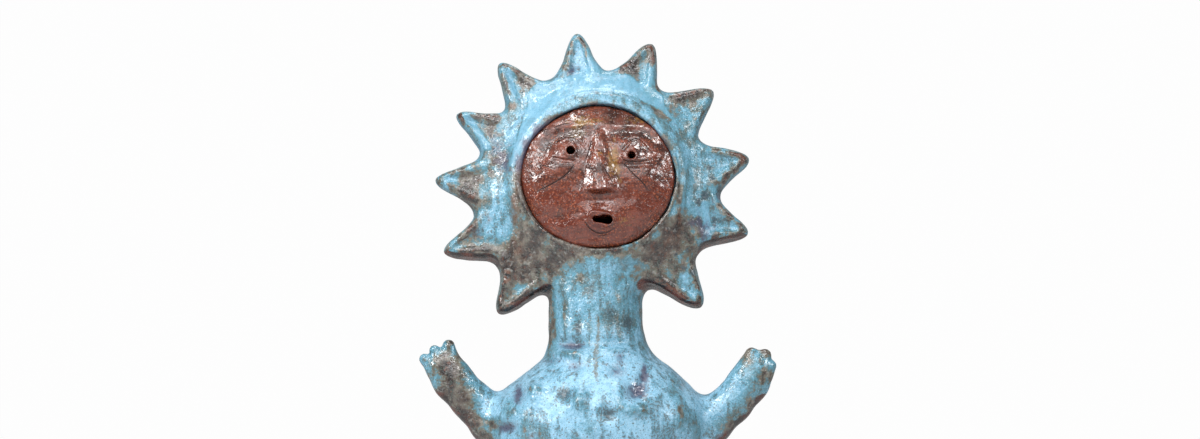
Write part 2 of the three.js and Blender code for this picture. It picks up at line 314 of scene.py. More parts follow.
# The arms are rolled, flattened a little and bent up from the shoulders. Each ends in a hand of
# three stubs, pinched apart. Arm rows: x, y, z of the middle, half width, half thickness.
# Finger rows: x and z of the root, x and z of the tip, radius.
ARMS = {
    "right": [
        (-38, 0, 181, 17, 13), (-60, -2, 197, 15, 12), (-75, -4, 209.6, 11.2, 9.5),
        (-85.6, -6, 221.6, 11.4, 7.5), (-91.4, -7, 230, 11.2, 6.2),
    ],
    "left": [
        (42, 0, 181, 16.5, 13), (65, -2, 197.2, 14, 12), (80.2, -4, 208.8, 11.2, 9.5),
        (89.4, -6, 220.6, 11.2, 7.5), (93.6, -7, 229, 10.6, 6.2),
    ],
}
FINGERS = {
    "right": [
        (-85, 230.5, -88.6, 242, 4.1), (-92.5, 232.5, -97, 239.4, 3.5), (-98.5, 228.5, -103, 234.6, 3.3),
    ],
    "left": [
        (88.5, 231, 90.9, 237.4, 3.7), (96.5, 230, 99.2, 236.6, 3.6), (100.4, 224.5, 102.8, 230.4, 3.3),
    ],
}
ARM_BOXES = {
    "right": ((-112, -30, 150), (-20, 30, 262)),
    "left": ((20, -30, 150), (112, 30, 262)),
}


def tapered(x, y, z, start, end, first, last):
    """Distance to a round bar from start to end, whose radius goes from first to last."""
    start, end = np.array(start, float), np.array(end, float)
    along = end - start
    axes = list(zip((x, y, z), start, along))
    share = np.clip(sum((v - s) * a for v, s, a in axes) / (along @ along), 0, 1)
    gap = np.sqrt(sum((v - s - share * a) ** 2 for v, s, a in axes))
    return gap - (first + (last - first) * share)


def arm(stations):
    def form(x, y, z):
        whole = np.float32(FAR)
        for (*a, wide_a, thick_a), (*b, wide_b, thick_b) in zip(stations, stations[1:]):
            flat = (wide_a + wide_b) / (thick_a + thick_b)
            middle = (a[1] + b[1]) / 2
            a = (a[0], middle + (a[1] - middle) * flat, a[2])
            b = (b[0], middle + (b[1] - middle) * flat, b[2])
            bar = tapered(x, middle + (y - middle) * flat, z, a, b, wide_a, wide_b)
            whole = soft_min(whole, bar, 5)
        return whole
    return form


def finger(root_x, root_z, tip_x, tip_z, radius):
    return lambda x, y, z: tapered(x, y, z, (root_x, -7, root_z), (tip_x, -7.5, tip_z), radius, radius)


# Each form is worked within a box around it, from one corner to the opposite one.
clay = Clay((-112, -84, -4), (112, 84, 440), CLAY_STEP)
clay.add(body, ((-84, -80, -4), (84, 80, 312)))
clay.add(base, ((-88, -84, -4), (88, 84, 22)), join=4)
clay.add(head, ((-108, -34, 250), (106, 50, 440)), join=9)
for side, stations in ARMS.items():
    clay.add(arm(stations), ARM_BOXES[side], join=6)
    for row in FINGERS[side]:
        clay.add(finger(*row), ARM_BOXES[side], join=1.6)
clay.cut(lambda x, y, z: z + 0 * x + 0 * y, ((-88, -84, -4), (88, 84, 6)), edge=1.5)
clay.cut(face_seat, ((-60, -40, 280), (60, -2, 395)), edge=0.8)
clay.cut(collar_crease, ((30, -40, 300), (60, 0, 370)), edge=0.8)
points, faces = clay.surface()


METRE = 1000
MM = 0.001


def put(name, data):
    """An object in the scene, for a mesh, a light or a camera."""
    made = bpy.data.objects.new(name, data)
    bpy.context.collection.objects.link(made)
    return made


def mesh_object(name, points, faces, edges=()):
    """A smooth-shaded object from points in millimetres."""
    mesh = bpy.data.meshes.new(name)
    mesh.from_pydata((np.asarray(points) * MM).tolist(), edges, faces)
    mesh.shade_smooth()
    return put(name, mesh)


def vertices_of(mesh):
    """The points (mm) and normals of a mesh."""
    found = []
    for source, name in ((mesh.vertices, "co"), (mesh.vertex_normals, "vector")):
        flat = np.empty(len(mesh.vertices) * 3, np.float32)
        source.foreach_get(name, flat)
        found.append(flat.reshape(-1, 3).astype(float))
    return found[0] * METRE, found[1]


def press_in(mesh, places, normals, depths):
    """Moves the points of a mesh inwards by a depth (mm) for each, and the places with them."""
    places -= normals * depths[:, None]
    mesh.vertices.foreach_set("co", (places * MM).ravel().astype(np.float32))


def lumps(points, size, seed):
    """Uneven rises and dips of about that size, from -1 to 1."""
    shift = Vector((seed * 17.3, seed * 5.1, seed * 9.7))
    return np.array([noise.noise(Vector(p) + shift) for p in (points / size).tolist()])


def mound(x, z, wide, high, lean=0):
    """1 in the middle of a soft oval and 0 well outside it, leaning by an angle."""
    along = x * math.cos(lean) + z * math.sin(lean)
    over = z * math.cos(lean) - x * math.sin(lean)
    return np.exp(-((along / wide) ** 2) - (over / high) ** 2)


def clouds(rows, x, z, front=1):
    """The soft patches of a table added up, as strong as front is. Some rows end with a lean."""
    total = 0
    for middle_x, middle_z, wide, high, strength, *lean in rows:
        total = total + strength * mound(x - middle_x, z - middle_z, wide, high, *lean)
    return total * front


# Finger and thumb marks on the front: x, z, half width, half height, depth (a rise is negative).
THUMB_MARKS = [
    (-35, 216, 5, 3, -1), (-35, 221, 6, 4, 0.8), (-12, 208, 3.4, 6, -1.2), (-5, 211, 4, 6, 0.8),
    (-30, 207, 5, 7, 1.4), (-23, 200, 4, 7, -1), (-38, 199, 5, 7, 1.2), (-16, 199, 4, 6, 1),
    (-15, 243.4, 9, 3.2, 3.4), (-15, 236.2, 9, 3.4, -3.4), (11, 243, 9, 3, 1.4), (11, 238.8, 8, 2, -2.2),
    (-27, 234, 8, 2.5, 0.8), (-13, 230, 6, 4, 1.2), (11, 227, 7, 5, 1.2), (2, 233, 14, 2.2, -0.5),
    (22, 216, 6.4, 5.6, 4.2), (20, 204.6, 9, 3.6, -3), (27, 224, 3, 4, 2), (12, 213, 4, 7, -1.6),
    (-46.6, 213.4, 4, 7, 2.8), (-36.5, 215.5, 4.4, 6, -2.8), (-19.6, 213.4, 5, 4.8, 3.2),
    (-9.5, 211, 4.4, 6, -2.6), (6, 202, 5, 4, 2.8), (-26, 205, 6, 5, 1.4), (-53.2, 193.8, 6, 3, 2.6),
    (-2, 193, 6, 5, -1), (38, 205, 5, 8, 1), (47, 200, 5, 9, -0.8), (-62, 196, 6, 8, -1),
    (-31, 176, 9, 11, 1.2), (24, 172, 10, 9, 1.2), (-6, 150, 9, 13, 1), (33, 128, 9, 12, 1.1),
    (-30, 112, 10, 12, 1.1), (8, 88, 12, 10, 0.9), (-42, 66, 11, 12, 1.1), (38, 58, 12, 12, 0.9),
    (-4, 40, 13, 9, 0.8), (-11.6, 252.6, 3, 7, 0.8), (17.8, 256, 4, 5, 0.8), (-3, 266, 5, 10, -0.6),
]


def thin_out(target, share, where):
    """Joins small faces until that share is left, more where the values at the points are high."""
    group = target.vertex_groups.new(name="thin_out")
    for level in range(1, 11):
        chosen = np.flatnonzero(np.ceil(np.asarray(where) * 10).clip(1, 10) == level)
        group.add(chosen.tolist(), level / 10, "REPLACE")
    fewer = target.modifiers.new("fewer", "DECIMATE")
    fewer.ratio = share
    fewer.vertex_group = group.name
    fewer.vertex_group_factor = 1
    settle(target)


def settle(target):
    """Turns what the modifiers make into the object's own mesh."""
    evaluated = target.evaluated_get(bpy.context.evaluated_depsgraph_get())
    mesh = bpy.data.meshes.new_from_object(evaluated)
    target.modifiers.clear()
    target.vertex_groups.clear()
    target.data = mesh
    mesh.materials.clear()
    mesh.shade_smooth()


figure = mesh_object("glazed_figure", points, faces)
places, normals = vertices_of(figure.data)
x, y, z = places.T
press = 0.6 * lumps(places, 30, 1) + 0.45 * lumps(places, 13, 2) + 0.24 * lumps(places, 6, 3)
press += 0.5 * lumps(places, 11, 4) * step_up(z, 255, 270)
press += clouds(THUMB_MARKS, x, z, step_up(-y, 0, 8))
press_in(figure.data, places, normals, press * step_up(z, 1.5, 8))
plain_parts = 1 - 0.85 * step_up(-y, -4, 8) * step_up(z, 200, 240)
thin_out(figure, 0.45, plain_parts)


# Inside, the walls are about 8 mm thick, from the open foot up through the neck to a chamber
# behind the face, which is cut out of the back of its seat.
def loft(name, rings):
    """A closed tube through rings of as many points each, turning the same way."""
    sides = len(rings[0])
    faces = [tuple(reversed(range(sides)))]
    for k in range(len(rings) - 1):
        for i in range(sides):
            j = (i + 1) % sides
            faces.append((k * sides + i, k * sides + j, (k + 1) * sides + j, (k + 1) * sides + i))
    faces.append(tuple(range((len(rings) - 1) * sides, len(rings) * sides)))
    return mesh_object(name, np.concatenate(rings), faces)


def ring(turns, wide, deep, x, y, z):
    """A level oval of points around x, y at the height z."""
    return np.stack([x + wide * np.cos(turns), y + deep * np.sin(turns), z + 0 * turns], axis=1)


TURNS = np.linspace(0, 2 * np.pi, 64, endpoint=False)
WALL = 8
NECK_BORE = 20
NECK_FOOT = 234
heights = np.array([
    -5, 12, 30, 50, 72, 95, 115, 130, 145, 160, 175, 190, 200, 208, 214, 220, 226, 232, 238, 246, 270, 316,
])
half_widths, half_depths = smooth_rows(BODY_FORM, heights)
rings = []
for z, half_width, half_depth in zip(heights, half_widths, half_depths):
    bore = NECK_BORE if z > NECK_FOOT else 0
    wide, deep = max(bore, half_width - WALL), max(bore, half_depth - WALL)
    rings.append(ring(TURNS, wide, deep, *axis_of(float(z)), z))
robe_hollow = loft("robe_hollow", rings)


def in_head(across, up, front):
    """A point of the head's own frame, in the figure's."""
    y = -front * TILT_COS + up * TILT_SIN
    z = front * TILT_SIN + up * TILT_COS
    return np.stack([HEAD_CENTRE[0] + across, y + 0 * across, HEAD_CENTRE[2] + z], axis=-1)


# The chamber, from back to front: distance towards the front, half width, half height.
CHAMBER = [
    (-27, 10, 10), (-22, 26, 26), (-14, 36, 36), (-3, 40, 39), (5, 39.5, 38), (9, 39, 36.6), (19, 39, 36.6),
]
rings = []
for front, half_width, half_height in CHAMBER:
    across = PLATE_CENTRE[0] + half_width * np.cos(TURNS)
    up = PLATE_CENTRE[1] + half_height * np.sin(TURNS)
    rings.append(in_head(across, up, front))
chamber = loft("chamber", rings)


def carve(target, cutters):
    """Cuts the cutters out of the target, and removes them."""
    for cutter in cutters:
        cut = target.modifiers.new("cut", "BOOLEAN")
        cut.operation = "DIFFERENCE"
        cut.solver = "MANIFOLD"
        cut.object = cutter
    settle(target)
    for cutter in cutters:
        bpy.data.objects.remove(cutter)


carve(figure, [robe_hollow, chamber])
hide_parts("sun_figure")
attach(figure, "root")


# The glaze is a turquoise one over red-brown stoneware: thick and pale where it was poured over the
# top of the head, grey-brown where it is thin, and plainer, in broad drifts and streaks, on the sides
# that the picture hides. The foot ring and some undersides are left as bare clay.
# Pours: x and z of the start, x and z of the end, and the half widths there.
POURS = [
    (-33, 392, -50.6, 350, 7.4, 2.3), (-33, 392, -9, 400, 7.4, 6), (-9, 400, 16, 399, 6, 5),
    (16, 399, 34, 390, 5, 4), (34, 390, 44, 378, 3, 1),
    (64, 326, 66, 306, 2.6, 1.8), (-50, 393, -54, 409, 1.6, 1.2), (-66, 361, -80, 382, 2.6, 2),
    (-2, 403, -5, 421, 4, 2), (30, 398, 36, 412, 4, 2),
]
# Patches on the front where the glaze is thin, warm, purple or dark, the purple and dark ones also
# painting shade in the thumb dents and the crease at the neck's foot: x, z, half width, half height,
# strength. Where it lies thick again inside a thin patch, the strength is below 0.
THIN_PATCHES = [
    (-50, 290, 26, 22, 0.95), (-72, 306, 20, 14, 0.75), (-74, 336, 18, 13, 0.9), (-47, 330, 7, 20, 0.85),
    (-60, 354, 7, 9, 0.8), (-36, 302, 14, 12, 0.7), (-22, 293, 9, 7, 0.7), (-58, 262, 10, 14, 0.6),
    (-77, 343, 7, 5, 0.5), (-78, 328, 9, 4, 0.5), (-48, 284, 12, 8, 0.35), (-38, 268, 5, 7, 0.6),
    (-60, 312, 12, 14, -1.05), (-62, 335, 9, 5, -0.85), (-89, 340, 5, 4, -0.9), (-32, 300, 3, 6, -0.5),
    (-91, 304, 4, 4, -0.7), (-53, 259, 5, 3, -0.5), (-46, 277, 9, 3, -0.35),
    (-65, 373, 7, 7, 1.1), (-70, 381, 9, 3, 0.8), (-51, 386, 4, 5, 1.1), (-45, 402, 6, 7, 1.2),
    (-40, 397, 4, 3, 0.7), (-58, 398, 2.4, 9, 0.6), (-79, 341, 7, 5, 0.6), (-19, 414, 4, 9, 0.75),
    (-4, 420, 4, 7, 0.7), (-28, 400, 4, 4, 0.5), (0, 404, 4, 4, 0.4), (-80, 376, 4, 4, 0.4),
    (0, 297, 26, 4.5, 0.85), (32, 300, 11, 9, 1), (44, 288, 13, 9, 0.4), (26, 286, 8, 6, 0.45),
    (41, 311, 6, 7, 0.8), (47, 306, 6, 8, 0.5), (36, 279, 7, 4, 1.3), (46, 272, 7, 4, 1.3),
    (56, 305, 11, 8, 0.45), (48, 328, 2.4, 14, 1), (52, 316, 8, 4, 0.6), (21, 410, 5, 8, 0.9),
    (34.5, 403, 2.6, 12, 1.1), (31, 394, 4, 5, 0.9), (34, 416, 7, 4, 0.8), (51, 388, 9, 5, 0.8),
    (60, 394, 10, 3, 0.7), (40, 381, 7, 4, 0.6), (74, 388, 6, 5, 0.6), (86, 371, 7, 4, 0.6),
    (86, 356, 3, 7, 0.5), (64, 297, 8, 4, 0.7), (92, 330, 6, 5, 0.4), (70, 302, 6, 5, 0.5),
    (57, 292, 5, 6, 0.4), (54, 279, 6, 8, -0.6), (62, 330, 6, 24, -0.2),
    (-89, 231, 10, 9, 1.1), (-86, 214, 13, 11, 1.1), (-77, 197, 12, 12, 1.1), (98, 226, 7, 7, 0.7),
    (-70, 186, 9, 9, 0.9), (-68, 204, 8, 6, -0.5), (91, 207, 7, 7, 0.9), (101, 239, 5, 6, 0.7),
    (88, 236, 4, 9, 0.7), (81, 195, 12, 6, 0.9), (27.5, 255, 1.8, 26, 0.5), (-28.5, 258, 2, 26, 0.7),
    (-60, 196, 6, 4, 0.7), (-51, 205, 5, 7, 0.5), (57, 196, 5, 9, 0.5), (-20, 262, 2, 12, 0.4),
    (12, 268, 2, 10, 0.4), (-10, 282, 3, 9, 0.4), (14, 286, 3, 8, 0.4), (-42, 192, 3, 9, 0.9),
    (-33, 190, 3, 8, 0.7), (-26, 250, 2, 16, 0.5), (48, 203, 2, 12, 0.8), (44, 218, 2, 8, 0.7),
    (-48, 176, 4, 12, 0.6), (-12, 178, 5, 10, 0.5), (6, 176, 4, 8, 0.4), (38, 176, 4, 10, 0.5),
    (-5, 196, 3, 6, 0.4), (58, 178, 4, 12, 0.6), (-62, 172, 4, 12, 0.7),
]
WARM_PATCHES = [
    (-49, 324, 4, 16, 1), (-46, 344, 3, 5, 0.6), (-54, 300, 14, 8, 0.4), (-40, 296, 10, 8, 0.5),
    (49, 316, 3, 12, 1), (42, 304, 7, 5, 0.8), (30, 296, 9, 4, 0.5), (48, 290, 8, 8, 0.4),
    (-50, 386, 3, 3, 1), (27, 407, 3, 8, 0.5), (58, 394, 8, 3, 0.6), (-22, 412, 3, 8, 0.4),
    (-39, 190, 6, 10, 0.6), (-27, 232, 3, 8, 0.5), (49, 214, 2, 12, 0.6), (-80, 200, 10, 8, 0.3),
    (-88, 346, 10, 4, 0.4), (-70, 318, 12, 4, 0.5),
]
# The rows on its first three lines lie in the thumb dents and the crease at the neck's foot: there the
# purple is painted shade.
PURPLE_AND_SHADE_CLOUDS = [
    (-15, 241.6, 8, 2.4, 1.3), (23, 215, 6.4, 5, 1.3), (27, 223.6, 3.4, 4.6, 1.1),
    (-46.6, 213.4, 3.6, 7, 1.1),
    (-53.2, 193.8, 6, 3.4, 1.2), (11, 227, 6, 5, 0.8), (-27, 233, 8, 2.5, 0.6), (-13, 230, 6, 4, 0.7),
    (64, 310, 4, 8, 0.7), (52, 398, 4, 9, 0.5), (-60, 366, 5, 14, 0.45), (-57, 352, 5, 9, 0.7),
    (-47, 350, 2.6, 6, 1.1), (-43, 361, 2.6, 6, 1.1), (-37, 370, 3, 5, 0.9),
    (73, 331, 3, 3, 0.9), (-71, 309, 5, 4, 0.6), (56, 315, 5, 3, 0.8), (-16, 409, 3, 6, 0.7),
    (13, 235, 3, 3, 0.8), (27, 229, 2, 3, 0.7),
]
# Its first four rows lie in thumb dents, where the dark is painted shade.
DARK_AND_SHADE_CLOUDS = [
    (-11.6, 252.6, 2.6, 6.5, 1.3), (17.8, 256.3, 3, 3.8, 1.2), (-19.6, 213.4, 5, 4.6, 1.3),
    (6, 202, 4.5, 4, 1.4),
    (-19, 276, 3, 5, 0.7), (-4, 274, 5, 7, 0.8), (9, 259, 5, 9, 0.6), (20, 251, 4, 6, 0.5),
    (-15, 236, 5, 3, 0.5), (30, 238, 4, 7, 0.5), (-30, 226, 6, 4, 0.4), (30, 206, 5, 7, 0.6),
    (42, 190, 5, 9, 0.6), (18, 186, 5, 6, 0.7), (-26, 180, 6, 8, 0.7), (0, 158, 9, 12, 0.5),
    (6, 262, 4, 5, 0.5), (-20, 265, 3, 5, 0.5), (12, 249, 7, 6, 0.45), (34, 186, 4, 6, 0.5),
    (-9, 186, 6, 5, 0.7), (-36, 196, 4, 5, 0.6), (86, 318, 5, 4, 0.6), (80, 350, 3, 3, 0.7),
    (-16, 419, 1.8, 2, 1), (-46, 395, 2, 2, 1), (-66, 375, 2, 2, 1), (-52, 372, 2, 2, 0.9),
    (63.6, 331.6, 2.4, 3, 2), (68, 342, 2, 2, 1.6), (66.6, 348.4, 2, 1.6, 1.6), (60, 327.4, 2, 2, 1.4),
    (71, 316.6, 5, 3, 1.1), (60, 315.4, 2.6, 3.4, 1.5), (72.6, 336, 2, 3, 1.4), (51, 288.4, 2, 1.8, 1.6),
    (56.4, 285.6, 2, 2.4, 1.7), (53, 298.6, 2, 2, 1.3), (46, 296, 2, 2, 1.3),
]
# Where the glaze is glossiest, on the ridges that the thumbs left at the neck and on the chest.
GLOSSY_PATCHES = [
    (-15, 237.4, 9, 2.4, 1.2), (12, 239.4, 9, 2, 1), (19, 210, 8, 7, 1), (22, 217, 5, 5, 0.8),
    (-35, 215, 6, 5, 1), (-13, 209, 5, 7, 0.9), (-44, 205, 6, 6, 0.7),
]
# How plainly the clay shows along each ray's ridge, in the order of the rays.
ARRIS_WEAR = [1, 1.2, 1.3, 0.6, 0.8, 0.6, 0.9, 0.9, 1.1, 1, 0.9]


def keep(mesh, **fields):
    """Stores a value for each point of a mesh under each name, for its material to read."""
    for name, values in fields.items():
        store = mesh.attributes.new(name, "FLOAT", "POINT")
        store.data.foreach_set("value", np.asarray(values, np.float32))


places, normals = vertices_of(figure.data)
x, y, z = places.T
front = step_up(-y, -9, 1)
across, up, forward = head_place(x, y, z)
px, pz = plate_place(x, y, z)[:2]
out = np.hypot(across, up)
turn = np.degrees(np.arctan2(up, across)) % 360
inset, on_ray = ray_place(turn, out)[2:]
nearest = np.abs((turn[:, None] - np.array([ray[0] for ray in RAYS]) + 180) % 360 - 180).argmin(axis=1)
on_head = step_up(out, 50, 58) * step_up(z, 250, 256) * (1 - step_up(out, 103, 104))
on_front = on_head * step_up(forward, -3, 1)
seat = np.abs(plate_outline(px, pz)) + 30 * (forward < 8)
edge = np.maximum(0.5 - clay.fullness(places, 3.2) - 0.06, 0) * 2.6

# On each ray the glaze thins along the ridge and the cut side, and pools inside the ridge.
wavy = inset + 1.1 * lumps(places, 7, 9) + 0.6 * lumps(places, 2.6, 10)
arris = on_front * on_ray * bell(wavy - 3.2, 1.4) * np.array(ARRIS_WEAR)[nearest]
bevel = on_head * on_ray * step_up(3.4 - inset, 0, 1.6)
pool = on_front * on_ray * step_up(inset, 6, 10) * step_up(out, 62, 74)

# Bare clay is left under the rays and arms and on the foot, up to about 4 mm.
BARE_FOOT = 4
below = step_up(-normals[:, 2], 0.25, 0.7)
under = on_head * step_up(3.6 - inset, 0, 1) * bell(across + 76, 22) * step_up(330 - z, 0, 12)
under = below * np.maximum(under + 0.8 * on_head * (z < 318), 0.9 * step_up(np.abs(x), 62, 76) * (z < 240))
under = np.maximum(under, step_up(BARE_FOOT + 1.5 * lumps(places, 9, 12) - z, -0.8, 0.8))

# The lip around the face is glossy, and so are the head and the arms, less so. Then what the pours
# cover, and how much glaze is lacking elsewhere.
gloss = bell(seat - 2, 2.4) * step_up(330 - z, 0, 14)
gloss = np.maximum(gloss, 0.3 * on_head + 0.6 * step_up(np.abs(x), 58, 70) * (z < 250))
thickness = np.full(len(places), float(FAR))
for start_x, start_z, end_x, end_z, first, last in POURS:
    run = tapered(x, 0 * y, z, (start_x, 0, start_z), (end_x, 0, end_z), first, last)
    thickness = soft_min(thickness, run, 5)
purple = clouds(PURPLE_AND_SHADE_CLOUDS, x, z, front) + 0.35 * bell(thickness - 2.2, 1.6) * front
thick = 0.2 * front * step_up(246 - z, 0, 14) * step_up(70 - np.abs(x), -6, 6) + 0.12 * pool
spread = 0.4 * edge + 0.25 * bell(seat, 1.6) - thick + 0.26 * on_front * step_up(across, -20, 30)
# A seam runs down the neck, wandering a little and wider at its foot.
seam = bell(x + 0.6 + 0.8 * np.sin(z / 7), 1.3 + bell(z - 236, 7))
keep(
    figure.data,
    gloss=gloss + clouds(GLOSSY_PATCHES, x, z, front),
    hidden=np.maximum(1 - front, step_up(190 - z, 0, 60)),
    lack=np.clip(clouds(THIN_PATCHES, x, z, front), 0, 1.15) + spread,
    arris=arris + 0.8 * edge,
    pour=np.where(front > 0.5, -thickness, -20),
    # Painted shadow: purple along the upper part of the face plate's seat, strongest at its top.
    purple=purple + 0.7 * bell(seat, 2) * step_up(z, 330, 370),
    dark=clouds(DARK_AND_SHADE_CLOUDS, x, z, front),
    warm=clouds(WARM_PATCHES, x, z, front),
    under=under,
    bevel=bevel * (1 - below),
    inside=step_up(-clay.sample(clay.distance, places), 5.8, 7),
    seam=seam * step_up(z, 218, 224) * step_up(262 - z, 0, 3) * front)


class Value:
    """One output of a tree's nodes, used in sums as a number is."""

    def __init__(self, maker, socket):
        self.maker = maker
        self.socket = socket

    def __add__(self, other):
        return self.maker.math("ADD", self, other)

    def __sub__(self, other):
        return self.maker.math("SUBTRACT", self, other)

    def __rsub__(self, other):
        return self.maker.math("SUBTRACT", other, self)

    def __mul__(self, other):
        return self.maker.math("MULTIPLY", self, other)

    __radd__ = __add__
    __rmul__ = __mul__

    def or_more(self, other):
        return self.maker.math("MAXIMUM", self, other)

    def rises(self, low, high):
        """0 below low, 1 above high and smooth between."""
        return self.maker.node(
            "ShaderNodeMapRange", {"interpolation_type": "SMOOTHSTEP"},
            {"Value": self, "From Min": low, "From Max": high})


class Nodes:
    """A tree of nodes, each made from its kind, its settings and what its sockets are given."""

    def node(self, kind, settings, sockets, output=0):
        made = self.tree.nodes.new(kind)
        for name, value in settings.items():
            setattr(made, name, value)
        for name, value in sockets.items():
            if isinstance(value, Value):
                self.tree.links.new(value.socket, made.inputs[name])
            else:
                made.inputs[name].default_value = value
        return Value(self, made.outputs[output])

    def math(self, operation, *terms):
        return self.node("ShaderNodeMath", {"operation": operation}, dict(enumerate(terms)))

    def times(self, place, size):
        return self.node("ShaderNodeVectorMath", {"operation": "SCALE"}, {0: place, 3: size})


class Finish(Nodes):
    """A material: a Principled shader, with what feeds it made by Python sums."""

    def __init__(self, name, **fixed):
        self.material = bpy.data.materials.new(name)
        self.material.use_nodes = True
        self.tree = self.material.node_tree
        self.shader = self.tree.nodes["Principled BSDF"]
        for socket, value in fixed.items():
            self.shader.inputs[socket.replace("_", " ")].default_value = value
        self.place = self.times(self.node("ShaderNodeTexCoord", {}, {}, "Object"), METRE)

    def mask(self, name):
        return self.node("ShaderNodeAttribute", {"attribute_name": name}, {}, "Fac")

    def grain(self, size, stretch=(1, 1, 1), detail=2, seed=0):
        """Noise about 0, within 1 either way, whose lumps are about size millimetres."""
        scaled = [1 / (size * s) for s in stretch]
        place = self.node("ShaderNodeMapping", {}, {0: self.place, 1: (seed, -seed, seed / 2), 3: scaled})
        uneven = self.node("ShaderNodeTexNoise", {}, {"Vector": place, "Scale": 1, "Detail": detail})
        return uneven * 3.2 - 1.6

    def pits(self, size):
        """Small round pits about size millimetres apart: 0 in the middle of each, 1 between them."""
        place = self.times(self.place, 1 / size)
        away = self.node("ShaderNodeTexVoronoi", {"feature": "F1"}, {"Vector": place, "Scale": 1})
        return away.rises(0.08, 0.42)

    def ramp(self, value, *stops):
        """The colour for a value, between stops of a place and a colour."""
        made = self.node("ShaderNodeValToRGB", {}, {"Fac": value})
        elements = made.socket.node.color_ramp.elements
        while len(elements) < len(stops):
            elements.new(1)
        for element, (place, shade) in zip(elements, stops):
            element.position = place
            element.color = colour(*shade)
        return made

    def mix(self, share, under, over):
        return self.node("ShaderNodeMix", {"data_type": "RGBA"}, {0: share, 6: under, 7: over}, 2)

    def over(self, tone, *coats):
        """Coats of colour laid over a tone in turn, each by its share, from 0 to 1."""
        for share, shade in coats:
            tone = self.mix(share, tone, colour(*shade))
        return tone

    def feed(self, socket, value):
        self.tree.links.new(value.socket, self.shader.inputs[socket])

    def bump(self, height):
        """Raises the surface by the height, in tenths of a millimetre."""
        settings = {"Strength": 1, "Distance": 0.1 * MM, "Height": height}
        self.feed("Normal", self.node("ShaderNodeBump", {}, settings))


def colour(red, green, blue):
    """A screen colour, 0 to 255, as the linear colour that a shader takes."""
    parts = [c / 255 for c in (red, green, blue)]
    return tuple(c / 12.92 if c < 0.04045 else ((c + 0.055) / 1.055) ** 2.4 for c in parts) + (1,)


glaze = Finish("turquoise_glaze", IOR=1.65)
broad = glaze.grain(26, seed=3)
patchy = glaze.grain(9, seed=5)
small = glaze.grain(3.2, seed=7)
fine = glaze.grain(1.3, seed=11)
runs = glaze.grain(3.6, stretch=(1, 1, 6), seed=13)
spots = glaze.grain(5.5, detail=3, seed=17)
dots = glaze.grain(1.1, detail=1, seed=19)
drift = glaze.grain(48, seed=41)

# How thick it lies. The thinner it is, the nearer its colour is to the dark end of the ramp.
poured = (glaze.mask("pour") + patchy * 0.8).rises(-0.6, 0.9)
arris = glaze.mask("arris") * (0.45 + patchy * 1.1 + spots * 0.9).or_more(0)
lack = (glaze.mask("lack") + arris) * (1 - 0.8 * poured)
lack = lack + (patchy * 0.35 + spots * 0.5 + small * 0.3 + dots * 0.3 + fine * 0.2) * lack.rises(0.1, 0.6)
hidden = glaze.mask("hidden")
streak = (glaze.grain(9, stretch=(1, 1, 5), detail=3, seed=43) + drift * 0.8).rises(0.35, 1.3)
lack = lack + streak * hidden * 0.9
cloud = drift * hidden * 0.8 + spots * 0.55 + runs * 0.8 + broad * 0.2 + small * 0.3
cloud = (cloud + glaze.mask("dark") * 0.7).rises(-0.1, 0.55)
mottle = patchy * 0.06 + small * 0.13 + dots * 0.22 - cloud * 0.15
amount = 0.88 + mottle * (1 - 0.7 * poured) - lack * 0.6 - poured * 0.02
tone = glaze.ramp(
    amount,
    (0, (28, 22, 20)), (0.1, (42, 33, 30)), (0.2, (60, 50, 45)), (0.32, (82, 72, 64)),
    (0.42, (98, 95, 82)), (0.54, (80, 112, 120)), (0.7, (86, 137, 154)), (0.84, (110, 160, 184)),
    (1, (142, 188, 212)))

# What shows in it: bubbles and thin parts with painted glints, specks, clouds, painted shade in the
# dents and above the face plate, the clay breaking through, and the seam down the neck.
# White specks where bubbles in the glaze catch light: painted glints.
bubble_glints = glaze.grain(0.9, detail=1, seed=37).rises(0.2, 0.8) * (1 - 0.8 * lack.rises(0.2, 0.7))
speck = (dots + fine * 0.6 + cloud * 0.6).rises(0.3, 0.85) * (1 - 0.7 * poured)
# Dark clouds, which in the thumb dents are painted shade.
dark = (glaze.mask("dark") + dots * 0.3 + small * 0.3).rises(0.4, 1.3)
thin = lack.rises(0.3, 0.8)
haze = (glaze.grain(6, detail=3, seed=29) + small * 0.5 + fine * 0.4).rises(0, 0.8)
# Light grey specks in the thin glaze: painted glints.
painted_glint = (glaze.grain(1.7, seed=31) + small * 0.6).rises(0.3, 0.8)
tone = glaze.over(
    tone,
    (bubble_glints * (0.4 - poured * 0.3), (176, 208, 224)),
    (speck * 0.75, (62, 74, 68)),
    (dark * 0.85, (52, 70, 78)),
    (haze * thin * 0.5, (140, 134, 122)),
    (painted_glint * thin * 0.45, (150, 152, 148)),
    # Purple glaze, which in the dents, the crease and above the face plate is painted shade.
    ((glaze.mask("purple") + small * 0.3 + dots * 0.2).rises(0.15, 1.15) * 0.92, (62, 60, 82)),
    ((glaze.mask("bevel") + small * 0.4 + patchy * 0.5).rises(0.5, 1.2) * 0.5, (118, 142, 144)),
    ((glaze.mask("warm") + patchy * 0.5 + small * 0.4).rises(0.3, 1.2) * 0.6, (104, 70, 50)),
    ((lack + glaze.grain(2.4, seed=23) * 0.9).rises(1.4, 2) * 0.6, (104, 58, 38)),
    ((glaze.mask("seam") + small * 0.5 + dots * 0.5).rises(0.35, 1) * 0.7, (92, 86, 62)))

